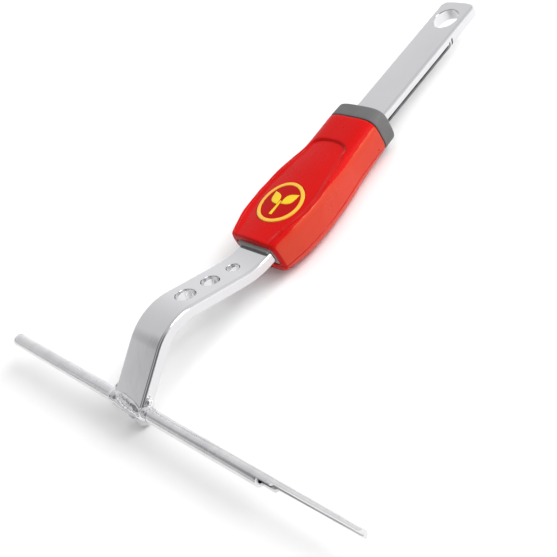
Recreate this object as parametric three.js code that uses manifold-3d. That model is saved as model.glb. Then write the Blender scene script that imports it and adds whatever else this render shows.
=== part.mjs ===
// T-shaped weeding tool head with a plug-in tang, millimetres, +Z up.
// It lies on the belly of its grip and on its foot rivet.
// The tang points along +Y and the cross tube along X.
import * as THREE from 'three';
import { mergeVertices } from 'three/addons/utils/BufferGeometryUtils.js';
import Module from 'manifold-3d';

const wasm = await Module();
wasm.setup();

// flat bar: tang, S-bent neck and leg in one piece
const BAR_WIDTH = 20;
const BAR_THICK = 6;
const BAR_EDGE = 1.5;
const TANG_END = 251.7;
const TANG_CORNER = 3;
const TANG_ARCH = 1;
const TANG_END_PLAN = [1, 0.985, 0.94, 0.86, 0.78, 0.7, 0.5, 0.25];
const TANG_HOLE_R = 6.6;
const TANG_HOLE_AT = 239;
const LEG_ANGLE = 31.5 * Math.PI / 180;
const MID_ANGLE = -23.7 * Math.PI / 180;
const LEG_BEND_R = 23.9;
const MID_LENGTH = 27.3;
const NECK_BEND_R = 45.9;
const NECK_HOLES = [
  { along: 3.2, radius: 4.6 },
  { along: 16.8, radius: 4.2 },
  { along: 30.0, radius: 3.2 },
];
const GROOVES = [
  { height: -1.0, half: 0.42 },
  { height: -2.2, half: 0.55 },
];
const GROOVE_DEPTH = 0.8;
const NOTCHES = [
  { along: 225.6, top: -0.1 },
  { along: 227.8, top: 0.6 },
];

// cross tube with its gouge end
const TUBE_R = 3.05;
const TUBE_BORE = 1.5;
const TUBE_LEFT = -92.4;
const GOUGE_START = 80.6;
const GOUGE_STEP = 87.4;
const TIP = 130;
const PLUG_CAP = 0.8;

// foot
const SADDLE_R = 3.5;
const SADDLE_BORE = 3.12;
const SADDLE_HALF = 13.5;
const RIVET_R = 3.6;
const SHANK_R = 1.5;
const WASHER_R = 4.3;

// grip
const GRIP_START = 86.5;
const GRIP_END = 163;
const COLLAR_END = 171;
const SPLIT = -5.6;
const WALL = 2.4;
const CORE_START = 85.1;
const CORE_HALF_WIDTH = 11.3;
const CORE_HALF_HEIGHT = 4.8;
const BELLY = 12.6;
const BADGE_AT = 109;
const BADGE_R = 11.8;

// the frame's origin is the centre of the bounding box's base
const CENTRE_X = (TUBE_LEFT - PLUG_CAP + TIP) / 2;
const CENTRE_Y = (TANG_END - WASHER_R) / 2;

const GAP = 0.1;
const TAU = Math.PI * 2;

// ---------- solids ----------

function solid(geometry) {
  const plain = geometry.index ? geometry.toNonIndexed() : geometry.clone();
  plain.deleteAttribute('normal');
  plain.deleteAttribute('uv');
  const merged = mergeVertices(plain, 1e-4);
  return new wasm.Manifold(new wasm.Mesh({
    numProp: 3,
    vertProperties: new Float32Array(merged.attributes.position.array),
    triVerts: new Uint32Array(merged.index.array),
  }));
}

function geometryOf(body) {
  const mesh = body.getMesh();
  const geometry = new THREE.BufferGeometry();
  geometry.setAttribute('position', new THREE.BufferAttribute(new Float32Array(mesh.vertProperties), 3));
  geometry.setIndex(new THREE.BufferAttribute(new Uint32Array(mesh.triVerts), 1));
  const flat = geometry.toNonIndexed();
  flat.computeVertexNormals();
  return flat;
}

function box(x0, x1, y0, y1, z0, z1) {
  const geometry = new THREE.BoxGeometry(x1 - x0, y1 - y0, z1 - z0);
  geometry.translate((x0 + x1) / 2, (y0 + y1) / 2, (z0 + z1) / 2);
  return solid(geometry);
}

// a turned body about the Z axis from [radius, height] points that start and end on the axis
function turned(points, segments = 32) {
  return new THREE.LatheGeometry(points.map(([r, h]) => new THREE.Vector2(r, h)), segments)
    .rotateX(Math.PI / 2);
}

function rod(radius, length, segments = 32) {
  return turned([[0, 0], [radius, 0], [radius, length], [0, length]], segments);
}

function rodX(radius, x0, x1, segments = 32) {
  return solid(rod(radius, x1 - x0, segments).rotateY(Math.PI / 2).translate(x0, 0, 0));
}

function rodZ(radius, z0, z1, segments = 32) {
  return solid(rod(radius, z1 - z0, segments).translate(0, 0, z0));
}

// an outline in the Y-Z plane, extruded along X
function sideExtrude(points, x0, x1, bevel = 0) {
  const shape = new THREE.Shape(points.map(([y, z]) => new THREE.Vector2(y, z)));
  const geometry = new THREE.ExtrudeGeometry(shape, {
    depth: x1 - x0 - 2 * bevel,
    bevelEnabled: bevel > 0,
    bevelThickness: bevel,
    bevelSize: bevel,
    bevelOffset: -bevel,
    bevelSegments: 3,
    curveSegments: 12,
  });
  geometry.applyMatrix4(new THREE.Matrix4().makeBasis(
    new THREE.Vector3(0, 1, 0), new THREE.Vector3(0, 0, 1), new THREE.Vector3(1, 0, 0)));
  return solid(geometry.translate(x0 + bevel, 0, 0));
}

// an outline in the X-Y plane, extruded along Z
function planExtrude(points, z0, z1) {
  const shape = new THREE.Shape(points.map(([x, y]) => new THREE.Vector2(x, y)));
  const geometry = new THREE.ExtrudeGeometry(shape, { depth: z1 - z0, bevelEnabled: false });
  return solid(geometry.translate(0, 0, z0));
}

function arcPoints(cx, cy, radius, from, to, steps) {
  const points = [];
  for (let i = 0; i <= steps; i += 1) {
    const angle = from + (to - from) * i / steps;
    points.push([cx + radius * Math.cos(angle), cy + radius * Math.sin(angle)]);
  }
  return points;
}

// a rectangle with rounded corners, centred on the axis, as [a, b] points
function roundedRectangle(halfA, halfB, radius, steps = 4) {
  const quarter = Math.PI / 2;
  return [
    ...arcPoints(halfA - radius, halfB - radius, radius, 0, quarter, steps),
    ...arcPoints(radius - halfA, halfB - radius, radius, quarter, 2 * quarter, steps),
    ...arcPoints(radius - halfA, radius - halfB, radius, 2 * quarter, 3 * quarter, steps),
    ...arcPoints(halfA - radius, radius - halfB, radius, 3 * quarter, 4 * quarter, steps),
  ];
}

// a prism along Y with a rounded rectangular section
function barY(halfWidth, halfHeight, radius, y0, y1) {
  const shape = new THREE.Shape(roundedRectangle(halfWidth, halfHeight, radius)
    .map(([x, z]) => new THREE.Vector2(x, -z)));
  const geometry = new THREE.ExtrudeGeometry(shape, { depth: y1 - y0, bevelEnabled: false });
  return solid(geometry.rotateX(-Math.PI / 2).translate(0, y0, 0));
}

// closed rings of points joined into one skin, with both ends capped
function loft(rings) {
  const count = rings[0].length;
  const positions = rings.flat(2);
  const index = [];
  for (let r = 0; r + 1 < rings.length; r += 1) {
    for (let i = 0; i < count; i += 1) {
      const a = r * count + i;
      const b = r * count + (i + 1) % count;
      index.push(a, a + count, b, b, a + count, b + count);
    }
  }
  for (const [ring, start] of [[rings[0], 0], [rings[rings.length - 1], (rings.length - 1) * count]]) {
    const centre = positions.length / 3;
    for (let k = 0; k < 3; k += 1) {
      positions.push(ring.reduce((sum, point) => sum + point[k], 0) / count);
    }
    for (let i = 0; i < count; i += 1) {
      const a = start + i;
      const b = start + (i + 1) % count;
      index.push(...(start === 0 ? [centre, a, b] : [centre, b, a]));
    }
  }
  const geometry = new THREE.BufferGeometry();
  geometry.setAttribute('position', new THREE.BufferAttribute(new Float32Array(positions), 3));
  geometry.setIndex(index);
  return solid(geometry);
}

// ---------- flat bar ----------

// centre line of the bar in the Y-Z plane: leg, bend, sloping neck, bend, straight tang
function barLine() {
  const drop = LEG_BEND_R * (Math.cos(MID_ANGLE) - Math.cos(LEG_ANGLE))
    + MID_LENGTH * Math.sin(MID_ANGLE)
    - NECK_BEND_R * (1 - Math.cos(MID_ANGLE));
  const legLength = -drop / Math.sin(LEG_ANGLE);
  const line = [[0, 0, LEG_ANGLE]];
  let y = legLength * Math.cos(LEG_ANGLE);
  let z = legLength * Math.sin(LEG_ANGLE);
  const bend = (radius, from, to, steps) => {
    const turn = Math.sign(to - from);
    const cy = y - turn * radius * Math.sin(from);
    const cz = z + turn * radius * Math.cos(from);
    for (let i = 0; i <= steps; i += 1) {
      const angle = from + (to - from) * i / steps;
      line.push([cy + turn * radius * Math.sin(angle), cz - turn * radius * Math.cos(angle), angle]);
    }
    [y, z] = line[line.length - 1];
  };
  bend(LEG_BEND_R, LEG_ANGLE, MID_ANGLE, 12);
  const neckStart = [y, z];
  y += MID_LENGTH * Math.cos(MID_ANGLE);
  z += MID_LENGTH * Math.sin(MID_ANGLE);
  bend(NECK_BEND_R, MID_ANGLE, 0, 7);
  line.push([TANG_END, 0, 0]);
  return { line, neckStart };
}

function neckHole({ along, radius }, start) {
  const hole = rod(radius, 20, 24).translate(0, 0, -10).rotateX(MID_ANGLE);
  hole.translate(0, start[0] + along * Math.cos(MID_ANGLE), start[1] + along * Math.sin(MID_ANGLE));
  return solid(hole);
}

// plan of the whole bar: the tang's end is slightly arched, flat at its middle, with rounded corners
function tangOutline() {
  const half = BAR_WIDTH / 2;
  const plan = [...TANG_END_PLAN, ...TANG_END_PLAN.map((x) => -x).reverse()];
  const end = [];
  for (const x of plan) {
    const out = Math.abs(x) * half;
    const over = Math.max(0, out - half + TANG_CORNER);
    const corner = TANG_CORNER - Math.sqrt(TANG_CORNER ** 2 - over ** 2);
    const arch = TANG_ARCH * Math.max(0, (out - 2.5) / (half - 2.5)) ** 1.5;
    end.push([x * half, TANG_END - arch - corner]);
  }
  const side = TANG_END - TANG_ARCH - TANG_CORNER - 0.5;
  const right = [[half + 1, -20], [half + 1, side]];
  const left = [[-half - 1, side], [-half - 1, -20]];
  return planExtrude([...right, ...end, ...left], -30, 60);
}

// the two slots along one narrow side of the tang, and the two slanted notches at their end
function sideCuts(sign) {
  const outer = sign * (BAR_WIDTH / 2 + 1);
  const inner = sign * (BAR_WIDTH / 2 - GROOVE_DEPTH);
  const [x0, x1] = [Math.min(outer, inner), Math.max(outer, inner)];
  const slots = GROOVES.map(({ height, half }) => box(x0, x1, COLLAR_END - 6, NOTCHES[0].along - 0.8,
    height - half, height + half));
  const notches = NOTCHES.map(({ along, top }) => sideExtrude(
    [[along - 1.1, -3.2], [along - 0.3, -3.2], [along + 1.1, top], [along + 0.3, top]], x0, x1));
  return wasm.Manifold.union([...slots, ...notches]);
}

function neckBar() {
  const { line, neckStart } = barLine();
  const side = (sign) => line.map(([y, z, angle]) => [
    y - sign * Math.sin(angle) * BAR_THICK / 2,
    z + sign * Math.cos(angle) * BAR_THICK / 2,
  ]);
  const outline = [...side(-1), ...side(1).reverse()];
  let bar = sideExtrude(outline, -BAR_WIDTH / 2, BAR_WIDTH / 2, BAR_EDGE);
  bar = bar.intersect(tangOutline());
  bar = bar.subtract(rodZ(TANG_HOLE_R, -6, 6, 40).translate([0, TANG_HOLE_AT, 0]));
  for (const hole of NECK_HOLES) {
    bar = bar.subtract(neckHole(hole, neckStart));
  }
  for (const sign of [-1, 1]) {
    bar = bar.subtract(sideCuts(sign));
  }
  return bar.subtract(rodX(SADDLE_R + GAP, -SADDLE_HALF - 2, SADDLE_HALF + 2, 48));
}

// ---------- cross tube and foot ----------

function crossTube() {
  const tube = rodX(TUBE_R, TUBE_LEFT, TIP, 40)
    .subtract(rodX(TUBE_BORE, TUBE_LEFT - 1, TIP + 1, 32));
  const gouge = planExtrude([
    [GOUGE_START, -5],
    [TIP + 2, -5],
    [TIP + 2, 5],
    [TIP, 1.45],
    [TIP - 0.4, 1.05],
    [TIP - 1.4, 0.8],
    [GOUGE_STEP + 0.6, 0.35],
    [GOUGE_STEP - 0.2, -0.98],
    [GOUGE_START, -0.98],
  ], -5, 5);
  return tube.subtract(gouge).subtract(rodZ(SHANK_R + GAP, -6, 0, 24));
}

function tubePlug() {
  const plug = turned([[0, 0], [TUBE_R - 0.6, 0], [TUBE_R, PLUG_CAP - 0.2], [TUBE_R, PLUG_CAP],
    [TUBE_BORE - GAP, PLUG_CAP], [TUBE_BORE - GAP, 8], [0, 8]], 32);
  plug.translate(0, 0, -PLUG_CAP - 0.02);
  return solid(plug.rotateY(Math.PI / 2).translate(TUBE_LEFT, 0, 0));
}

function footSaddle() {
  const half = SADDLE_HALF;
  const sleeve = solid(turned([[0, -half], [SADDLE_R - 0.2, -half], [SADDLE_R, 0.4 - half],
    [SADDLE_R, half - 0.4], [SADDLE_R - 0.2, half], [0, half]], 40).rotateY(Math.PI / 2));
  return sleeve.subtract(rodX(SADDLE_BORE, -half - 1, half + 1, 40))
    .subtract(rodZ(SHANK_R + GAP, -6, 0, 24));
}

function footRivet() {
  const top = -SADDLE_R - 1.1;
  const points = [[0, -BELLY], [1.6, -BELLY],
    ...arcPoints(RIVET_R - 1.8, 1.8 - BELLY, 1.8, -Math.PI / 3, 0, 4),
    [RIVET_R, top], [SHANK_R, top], [SHANK_R, -0.15], [0, -0.15]];
  return solid(turned(points, 32));
}

function rivetWasher() {
  const top = -SADDLE_R - 0.05;
  return rodZ(WASHER_R, top - 1, top, 32).subtract(rodZ(SHANK_R + GAP, top - 2, top + 1, 24));
}

// weld bead in the corner between the leg's narrow side and the saddle
function weldBead(sign) {
  const bead = solid(new THREE.SphereGeometry(1, 20, 14).scale(1.9, 3.1, 2.3)
    .rotateX(LEG_ANGLE).translate(sign * 10.6, 3.4, 2.2));
  return bead.subtract(rodX(SADDLE_R + GAP / 2, -20, 20, 48))
    .subtract(box(-BAR_WIDTH / 2 - 0.05, BAR_WIDTH / 2 + 0.05, -20, 20, -20, 20));
}

// weld bead across the foot of the leg's front face
function frontBead() {
  const bead = solid(new THREE.SphereGeometry(1, 28, 16).scale(9.4, 2.5, 1.1)
    .rotateZ(-0.14).rotateX(LEG_ANGLE + 0.08).translate(0.5, -0.87, 3.34));
  const leg = box(-20, 20, -0.06, 40, -BAR_THICK / 2 - 0.06, BAR_THICK / 2 + 0.06)
    .rotate([LEG_ANGLE * 180 / Math.PI, 0, 0]);
  return bead.subtract(rodX(SADDLE_R + GAP / 2, -20, 20, 48)).subtract(leg);
}

// ---------- grip ----------

// along: distance from the foot; width: half width; front, back: heights above and below the bar's axis
const GRIP_STATIONS = [
  { along: 86.5, width: 13.6, front: 9.2, back: 9.4 },
  { along: 88, width: 14.7, front: 10.1, back: 10.3 },
  { along: 93, width: 16.2, front: 11.0, back: 11.6 },
  { along: 100, width: 17.7, front: 11.8, back: 12.4 },
  { along: 112, width: 18.6, front: 12.1, back: BELLY },
  { along: 124, width: 18.0, front: 11.3, back: BELLY },
  { along: 134, width: 16.8, front: 9.9, back: 12.5 },
  { along: 143, width: 15.5, front: 9.0, back: 11.9 },
  { along: 152, width: 15.1, front: 9.4, back: 11.0 },
  { along: 163, width: 14.9, front: 10.0, back: 10.0 },
  { along: 168, width: 14.4, front: 9.7, back: 9.7 },
  { along: 170.3, width: 13.9, front: 9.3, back: 9.3 },
  { along: 171, width: 13.2, front: 8.7, back: 8.7 },
];

function gripSize(along) {
  const last = GRIP_STATIONS.length - 2;
  let k = 0;
  while (k < last && along > GRIP_STATIONS[k + 1].along) {
    k += 1;
  }
  const a = GRIP_STATIONS[k];
  const b = GRIP_STATIONS[k + 1];
  const t = (along - a.along) / (b.along - a.along);
  const mix = (key) => a[key] + (b[key] - a[key]) * t;
  return { width: mix('width'), front: mix('front'), back: mix('back') };
}

// superellipse section, pulled in by inset
function gripRing(along, inset = 0, count = 40) {
  const { width, front, back } = gripSize(along);
  const ring = [];
  for (let i = 0; i < count; i += 1) {
    const angle = TAU * i / count;
    const c = Math.cos(angle);
    const s = Math.sin(angle);
    const x = (width - inset) * Math.sign(c) * Math.abs(c) ** 0.5;
    const z = ((s > 0 ? front : back) - inset) * Math.sign(s) * Math.abs(s) ** 0.5;
    ring.push([x, along, z]);
  }
  return ring;
}

function gripBody(from, to, inset = 0, count = 40) {
  const inside = GRIP_STATIONS.map((s) => s.along).filter((y) => y > from + 0.3 && y < to - 0.3);
  return loft([from, ...inside, to].map((y) => gripRing(y, inset, count)));
}

// front panel: nearly flat, with a slight crown across the grip
function panelCutter(lift = 0) {
  const points = [];
  for (let i = -7; i <= 7; i += 1) {
    const x = i * 3;
    points.push([x, 8.9 - 2.1 * (x / 17.6) ** 2 + lift]);
  }
  const shape = new THREE.Shape([...points, [21, 20], [-21, 20]]
    .map(([x, z]) => new THREE.Vector2(x, -z)));
  const geometry = new THREE.ExtrudeGeometry(shape, { depth: 68, bevelEnabled: false });
  return solid(geometry.rotateX(-Math.PI / 2).translate(0, 80, 0));
}

function halfSpace(below) {
  return below ? box(-40, 40, 60, 200, -40, SPLIT - 0.04) : box(-40, 40, 60, 200, SPLIT + 0.04, 40);
}

function coreHole(from, to) {
  return barY(CORE_HALF_WIDTH + GAP, CORE_HALF_HEIGHT + GAP, 1.6, from, to);
}

function gripShell(below) {
  const cavity = gripBody(GRIP_START + 3, GRIP_END - 3, WALL, 32)
    .intersect(box(-40, 40, 60, 200, -40, CORE_HALF_HEIGHT + 0.4));
  let shell = gripBody(GRIP_START, GRIP_END).subtract(cavity);
  shell = shell.subtract(coreHole(GRIP_START - 1, GRIP_END + 1));
  if (!below) {
    shell = shell.subtract(panelCutter()).subtract(badgePocket());
  }
  return shell.intersect(halfSpace(below));
}

function badgePocket() {
  return rodZ(BADGE_R + GAP, 7.3, 12, 48).translate([0, BADGE_AT, 0]);
}

function coreSleeve() {
  const sleeve = barY(CORE_HALF_WIDTH, CORE_HALF_HEIGHT, 1.5, CORE_START, GRIP_END - 0.5);
  return sleeve.subtract(barY(BAR_WIDTH / 2 + GAP, BAR_THICK / 2 + GAP, 1, CORE_START - 1, GRIP_END + 1));
}

function collar() {
  return gripBody(GRIP_END + 0.1, COLLAR_END)
    .subtract(barY(BAR_WIDTH / 2 + GAP, BAR_THICK / 2 + GAP, 1, GRIP_END - 1, COLLAR_END + 1));
}

// ---------- badge ----------

// upright prism of the given plan outline, topped by the panel's crown raised by lift
function badgeLayer(outline, floor, lift) {
  return planExtrude(outline.map(([x, y]) => [x, y + BADGE_AT]), floor, 12).subtract(panelCutter(lift));
}

function circle(radius, count = 48) {
  return arcPoints(0, 0, radius, 0, TAU, count).slice(0, count);
}

function badgeRing() {
  return badgeLayer(circle(BADGE_R - 0.1), 7.9, 0.3)
    .subtract(rodZ(BADGE_R - 1.9, 0, 14, 48).translate([0, BADGE_AT, 0]));
}

// pointed leaf from its base to its tip, bulging by width to each side, grown on all sides by grow
function leafOutline(base, tip, width, grow) {
  const start = new THREE.Vector2(...base);
  const along = new THREE.Vector2(...tip).sub(start);
  const unit = along.clone().normalize();
  const across = new THREE.Vector2(-unit.y, unit.x);
  start.addScaledVector(unit, -2 * grow);
  along.addScaledVector(unit, 4 * grow);
  const point = (t, bulge) => {
    const p = start.clone().addScaledVector(along, t).addScaledVector(across, bulge);
    return [p.x, p.y];
  };
  const side = (sign) => [1, 2, 3, 4, 5, 6, 7].map((i) => {
    const t = i / 8;
    return point(t, sign * (width * Math.sin(Math.PI * t) * (1 - 0.35 * t) + grow));
  });
  return [point(0, 0), ...side(-1), point(1, 0), ...side(1).reverse()];
}

function stemOutline(grow) {
  const [low, high, wide, narrow] = [-7.5 - grow, 0.6 + grow, 0.8 + grow, 0.45 + grow];
  return [[-wide, low], [wide, low], [narrow, high], [-narrow, high]];
}

const MOTIF = {
  badge_leaf_left: (grow) => leafOutline([-1.0, -1.6], [-7.0, 5.0], 2.9, grow),
  badge_leaf_right: (grow) => leafOutline([1.0, -0.8], [7.0, 6.2], 3.1, grow),
  badge_stem: stemOutline,
};

function badgePlate() {
  let face = badgeLayer(circle(BADGE_R - 2), 7.35, 0.06);
  for (const outline of Object.values(MOTIF)) {
    face = face.subtract(planExtrude(outline(GAP).map(([x, y]) => [x, y + BADGE_AT]), 7.85, 14));
  }
  return face.add(rodZ(BADGE_R, 7.35, 7.85, 48).translate([0, BADGE_AT, 0]));
}

// ---------- materials and assembly ----------

const MATERIALS = {
  chrome: { color: 0xd9dadb, roughness: 0.12, metalness: 1 },
  steel: { color: 0xc4c6c8, roughness: 0.28, metalness: 1 },
  red: { color: 0xd2181f, roughness: 0.35, metalness: 0 },
  grey: { color: 0x707173, roughness: 0.7, metalness: 0 },
  darkRed: { color: 0xb0141c, roughness: 0.4, metalness: 0 },
  yellow: { color: 0xf3c11c, roughness: 0.45, metalness: 0 },
};

const group = new THREE.Group();
group.name = 'stand_up_weeder_head';

function add(name, body, material) {
  const geometry = geometryOf(body);
  geometry.translate(-CENTRE_X, -CENTRE_Y, BELLY);
  const mesh = new THREE.Mesh(geometry, new THREE.MeshStandardMaterial(MATERIALS[material]));
  mesh.name = name;
  group.add(mesh);
}

add('neck_bar', neckBar(), 'chrome');
add('cross_tube', crossTube(), 'chrome');
add('tube_plug', tubePlug(), 'chrome');
add('foot_saddle', footSaddle(), 'steel');
add('foot_rivet', footRivet(), 'steel');
add('rivet_washer', rivetWasher(), 'steel');
add('weld_bead_left', weldBead(-1), 'steel');
add('weld_bead_right', weldBead(1), 'steel');
add('weld_bead_front', frontBead(), 'steel');
add('core_sleeve', coreSleeve(), 'grey');
add('collar', collar(), 'grey');
add('grip_front', gripShell(false), 'red');
add('grip_rear', gripShell(true), 'red');
add('badge_plate', badgePlate(), 'darkRed');
add('badge_ring', badgeRing(), 'yellow');
for (const [name, outline] of Object.entries(MOTIF)) {
  add(name, badgeLayer(outline(0), 7.9, 0.3), 'yellow');
}

export default group;
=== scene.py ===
import math

import bmesh
import bpy
import numpy as np
from mathutils import Matrix, Vector, noise


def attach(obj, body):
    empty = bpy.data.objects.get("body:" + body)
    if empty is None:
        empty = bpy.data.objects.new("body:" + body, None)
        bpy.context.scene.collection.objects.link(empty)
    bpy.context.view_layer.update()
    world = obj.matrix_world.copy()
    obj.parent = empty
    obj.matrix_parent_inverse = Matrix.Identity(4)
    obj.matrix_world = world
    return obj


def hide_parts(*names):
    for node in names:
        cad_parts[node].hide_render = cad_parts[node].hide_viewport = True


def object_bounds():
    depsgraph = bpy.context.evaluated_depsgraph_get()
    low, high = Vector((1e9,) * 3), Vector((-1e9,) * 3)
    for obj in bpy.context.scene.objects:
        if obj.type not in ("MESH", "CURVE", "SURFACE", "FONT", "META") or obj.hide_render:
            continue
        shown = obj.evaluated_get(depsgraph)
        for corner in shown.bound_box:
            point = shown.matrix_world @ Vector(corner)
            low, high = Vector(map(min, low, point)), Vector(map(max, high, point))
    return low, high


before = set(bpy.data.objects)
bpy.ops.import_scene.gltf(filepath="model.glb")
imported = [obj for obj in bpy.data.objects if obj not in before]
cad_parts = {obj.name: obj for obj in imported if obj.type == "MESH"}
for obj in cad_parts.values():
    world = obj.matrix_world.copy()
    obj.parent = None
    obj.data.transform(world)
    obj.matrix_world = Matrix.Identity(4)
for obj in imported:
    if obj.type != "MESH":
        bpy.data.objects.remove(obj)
CAD_LOW, CAD_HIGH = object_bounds()

# Sizes are in millimetres on the tool's own axes: the tube's axis is y 0, the bar's centre line is x 0,
# and the straight tang's middle is z 0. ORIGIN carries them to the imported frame.
MM = 0.001
TAU = 2 * math.pi

BAR_HALF = 10.0
BAR_THICK = 5.99
BAR_EDGE = 1.5
TANG_END = 251.7
TANG_CORNER = 3.0
TANG_ARCH = 1.0
TANG_FLAT_HALF = 2.5
TANG_HOLE_R = 6.6
TANG_HOLE_AT = 239.0
LEG_ANGLE = math.radians(31.5)
MID_ANGLE = math.radians(-23.7)
LEG_BEND_R = 23.9
MID_LENGTH = 27.3
NECK_BEND_R = 45.9
NECK_HOLES = ((3.2, 4.6), (16.8, 4.2), (30.0, 3.2))
HOLE_LIP = 0.45
GROOVES = ((-1.0, 0.42), (-2.2, 0.55))
GROOVE_DEPTH = 0.8
NOTCHES = ((225.6, -0.1), (227.8, 0.6))

TUBE_R = 3.05
TUBE_BORE = 1.5
TUBE_LEFT = -92.4
GOUGE_START = 80.6
GOUGE_STEP = 87.4
GOUGE_SEGMENTS = 58
TIP = 130.0
PLUG_CAP = 0.77

SADDLE_R = 3.5
SADDLE_BORE = 3.12
SADDLE_HALF = 13.5
RIVET_R = 3.6
WASHER_R = 4.3
BELLY = 12.6

GRIP_START = 86.5
GRIP_END = 163.0
COLLAR_END = 171.0
SPLIT = -5.6
CORE_START = 85.2
CORE_HALF_WIDTH = 11.3
CORE_HALF_HEIGHT = 4.8
TONGUE_HALF = 0.84
BADGE_AT = 109.0
BADGE_R = 11.8
BADGE_BASE = 7.35
BADGE_INLAY_BASE = 7.9
BADGE_LIFT = 0.3
PANEL_HEIGHT = 8.9
PANEL_CROWN = 2.1
PANEL_DIP = 0.7
PANEL_WALL_TOP = 1.3
PANEL_WALL_SIDE = 4.0
PANEL_GROOVE_DEPTH = 0.8
PANEL_GROOVE_AT = 0.7
PANEL_GROOVE_HALF = 0.5
SECTION_EXPONENT = 4.0
SHELL_GAP = 0.05
SEAM_ROUNDING = 0.45
FIT = 0.1

ORIGIN = Vector((CAD_HIGH.x / MM - TIP, CAD_HIGH.y / MM - TANG_END, CAD_LOW.z / MM + BELLY))

CAMERA_LENS = 66.85
CAMERA_RIGHT = Vector((0.67326937, 0.59720189, -0.43595672))
CAMERA_UP = Vector((-0.24794341, 0.73782298, 0.62780675))
CAMERA_PLACE = Vector((325.538, -59.785, 282.054))

# name, place and target in metres, diameter, power, whether glossy surfaces mirror it
LIGHTS = (
    ("key", (0.9, 1.1, 1.2), (0, 0, 0), 1.1, 21.5, False),
    ("side", (1.25, 0.45, 1.05), (0, 0, 0), 0.9, 7.0, True),
    ("low", (1.5, 0.55, 0.42), (0, 0.05, 0), 0.5, 3.0, True),
    ("top", (0.1, 0.3, 2.0), (0, 0, 0), 1.6, 6.0, False),
)


# ---------- meshes ----------

def mesh_object(name, points, faces):
    mesh = bpy.data.meshes.new(name)
    mesh.from_pydata([tuple(float(c) for c in p) for p in points], [], faces)
    obj = bpy.data.objects.new(name, mesh)
    bpy.context.scene.collection.objects.link(obj)
    face_outwards(mesh)
    return obj


def face_outwards(mesh):
    bm = bmesh.new()
    bm.from_mesh(mesh)
    bmesh.ops.remove_doubles(bm, verts=bm.verts, dist=1e-5)
    bmesh.ops.recalc_face_normals(bm, faces=bm.faces)
    bm.to_mesh(mesh)
    bm.free()


def bake(obj):
    """Replaces obj's mesh with what its modifiers make of it."""
    bpy.context.view_layer.update()
    depsgraph = bpy.context.evaluated_depsgraph_get()
    mesh = bpy.data.meshes.new_from_object(obj.evaluated_get(depsgraph))
    obj.modifiers.clear()
    obj.data = mesh
    return obj


def combine(obj, tool, operation="DIFFERENCE"):
    """Cuts, joins or intersects obj with tool, which is used up."""
    modifier = obj.modifiers.new("combine", "BOOLEAN")
    modifier.operation = operation
    modifier.solver = "EXACT"
    modifier.object = tool
    bake(obj)
    bpy.data.objects.remove(tool)
    return obj


def loft(name, rings, closed_ends=True):
    """Skin through closed rings of points, capped at both ends."""
    count = len(rings[0])
    points = [p for ring in rings for p in ring]
    faces = []
    for r in range(len(rings) - 1):
        for i in range(count):
            j = (i + 1) % count
            faces.append((r * count + i, r * count + j, (r + 1) * count + j, (r + 1) * count + i))
    if closed_ends:
        faces.append(tuple(range(count)))
        faces.append(tuple((len(rings) - 1) * count + i for i in range(count)))
    return mesh_object(name, points, faces)


def turned(name, profile, segments=64):
    """Body turned about Z from (radius, height) points; both ends close on flat caps or on the axis."""
    rings = []
    for radius, height in profile:
        radius = max(radius, 1e-3)
        rings.append([(radius * math.cos(TAU * i / segments), radius * math.sin(TAU * i / segments), height)
                      for i in range(segments)])
    return loft(name, rings)


def transform(obj, matrix):
    obj.data.transform(matrix)
    return obj


ALONG_X = Matrix.Rotation(math.pi / 2, 4, "Y")


def arc(cx, cy, radius, start, end, steps):
    return [(cx + radius * math.cos(start + (end - start) * i / steps),
             cy + radius * math.sin(start + (end - start) * i / steps)) for i in range(steps + 1)]


def rounded_rectangle(half_a, half_b, radius, steps=6):
    quarter = math.pi / 2
    centres = ((1, 1, 0), (-1, 1, 1), (-1, -1, 2), (1, -1, 3))
    return [p for a, b, turn in centres
            for p in arc(a * (half_a - radius), b * (half_b - radius), radius,
                         turn * quarter, (turn + 1) * quarter, steps)]


def smoothstep(low, high, value):
    t = np.clip((value - low) / (high - low), 0, 1)
    return t * t * (3 - 2 * t)


# ---------- materials ----------

def linked_noise(tree, scale, detail=4.0, stretch=(1, 1, 1)):
    coords = tree.nodes.new("ShaderNodeTexCoord")
    mapping = tree.nodes.new("ShaderNodeMapping")
    mapping.inputs["Scale"].default_value = stretch
    noise = tree.nodes.new("ShaderNodeTexNoise")
    noise.inputs["Scale"].default_value = scale
    noise.inputs["Detail"].default_value = detail
    tree.links.new(coords.outputs["Object"], mapping.inputs["Vector"])
    tree.links.new(mapping.outputs["Vector"], noise.inputs["Vector"])
    return noise.outputs["Fac"]


def remap(tree, value, low, high, source=(0.3, 0.7)):
    node = tree.nodes.new("ShaderNodeMapRange")
    node.inputs["From Min"].default_value = source[0]
    node.inputs["From Max"].default_value = source[1]
    node.inputs["To Min"].default_value = low
    node.inputs["To Max"].default_value = high
    tree.links.new(value, node.inputs["Value"])
    return node.outputs["Result"]


def blend_colours(tree, factor, first, second):
    node = tree.nodes.new("ShaderNodeMix")
    node.data_type = "RGBA"
    ends = [socket for socket in node.inputs if socket.type == "RGBA"]
    for socket, colour in zip(ends, (first, second)):
        socket.default_value = (*colour, 1)
    tree.links.new(factor, node.inputs["Factor"])
    return next(o for o in node.outputs if o.type == "RGBA")


def bump(tree, height, strength, distance, previous=None):
    node = tree.nodes.new("ShaderNodeBump")
    node.inputs["Strength"].default_value = strength
    node.inputs["Distance"].default_value = distance
    tree.links.new(height, node.inputs["Height"])
    if previous is not None:
        tree.links.new(previous, node.inputs["Normal"])
    return node.outputs["Normal"]


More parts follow.
